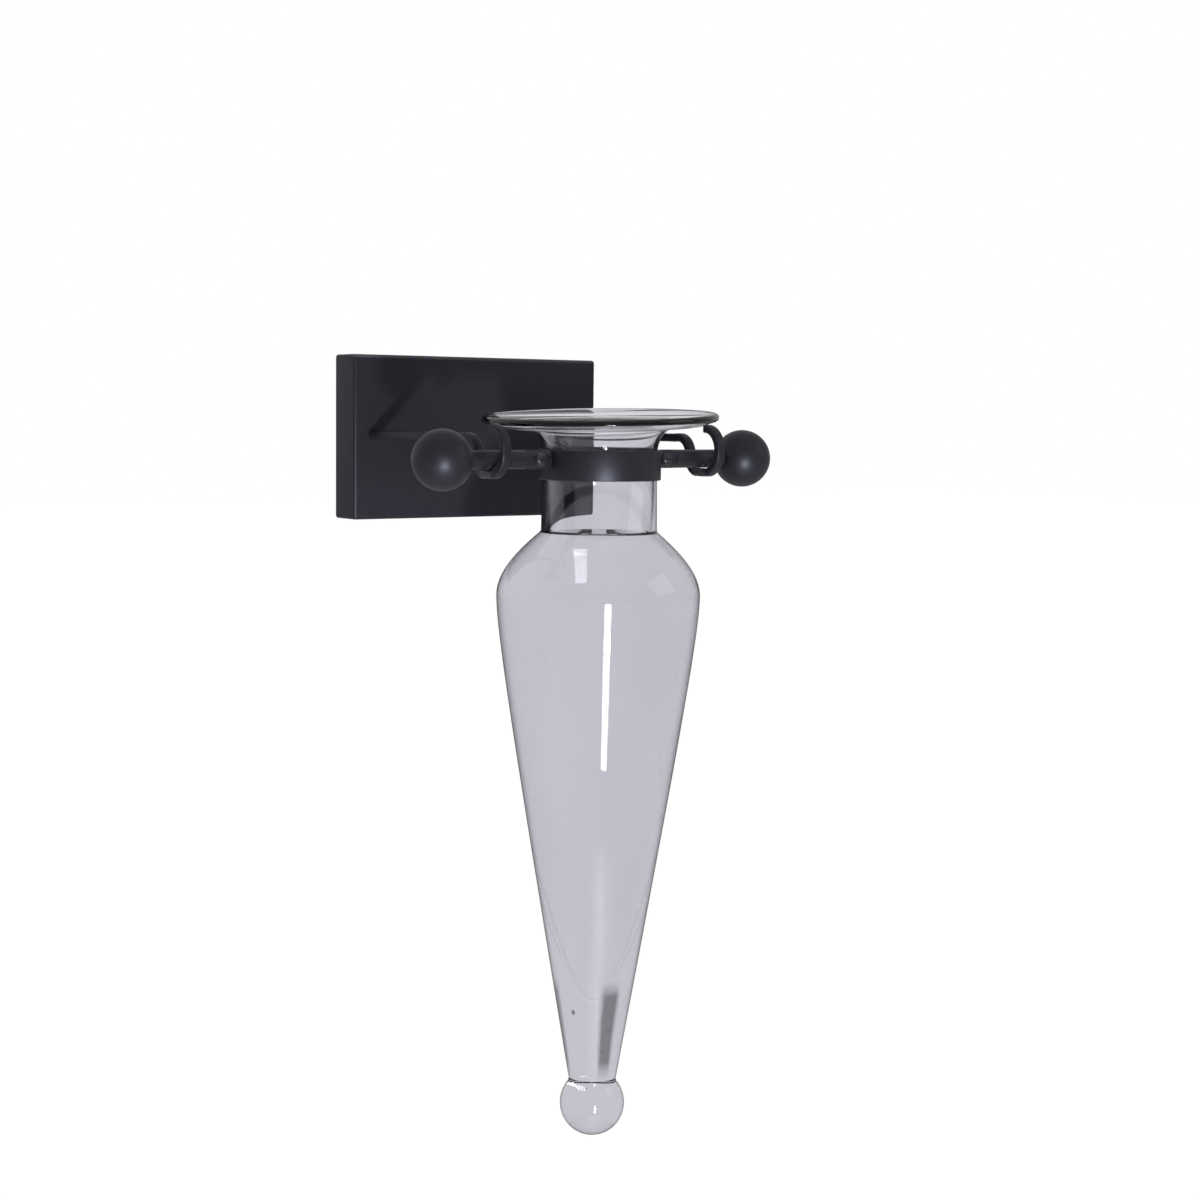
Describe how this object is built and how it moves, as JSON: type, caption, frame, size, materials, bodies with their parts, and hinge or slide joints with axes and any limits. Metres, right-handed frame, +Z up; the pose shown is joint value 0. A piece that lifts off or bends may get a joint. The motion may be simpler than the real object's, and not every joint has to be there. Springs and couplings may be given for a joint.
{
  "type": "wall sconce vase",
  "caption": "Pointed clear glass amphora that hangs by its lip in a black iron collar, whose rods with ball ends lie in two hooked arms on a wall plate.",
  "frame": {"origin": "middle of the back of the mounting strip, on the wall, at the middle of the wall plate's height", "axes": "+Z up, +Y into the wall, -Y out into the room, +X along the two side rods"},
  "size_m": [0.2054, 0.184, 0.3828],
  "materials": {
    "black_iron": "satin black powder coat on iron, slightly rough",
    "zinc_steel": "plain zinc plated steel, hidden inside the plate",
    "black_screw": "blackened steel screw",
    "clear_glass": "clear hand-blown glass with a faint lavender grey tint"
  },
  "bodies": {
    "wall_mount": {"wall_plate": "black_iron", "mounting_strip": "zinc_steel", "lock_screw": "black_screw", "left_arm": "black_iron", "right_arm": "black_iron", "left_arm_nut": "zinc_steel", "right_arm_nut": "zinc_steel"},
    "finials": {"left_finial": "black_iron", "right_finial": "black_iron"},
    "cradle": {"collar_front": "black_iron", "collar_rear": "black_iron", "left_rod": "black_iron", "right_rod": "black_iron", "left_collar_screw": "black_screw", "right_collar_screw": "black_screw", "left_collar_nut": "black_screw", "right_collar_nut": "black_screw"},
    "vase": {"glass_vase": "clear_glass"}
  },
  "joints": [
    {"name": "cradle_lift", "type": "slide", "parent": "wall_mount", "child": "finials", "axis": [0, 0.417, 0.9089], "range_m": [0, 0.045]},
    {"name": "cradle_swing", "type": "hinge", "parent": "finials", "child": "cradle", "pos_m": [0, -0.127, -0.0084], "axis": [1, 0, 0], "range_deg": [-60, 20]},
    {"name": "vase_turn", "type": "hinge", "parent": "cradle", "child": "vase", "pos_m": [0, -0.127, -0.0084], "axis": [0, 0, 1], "continuous": true}
  ]
}
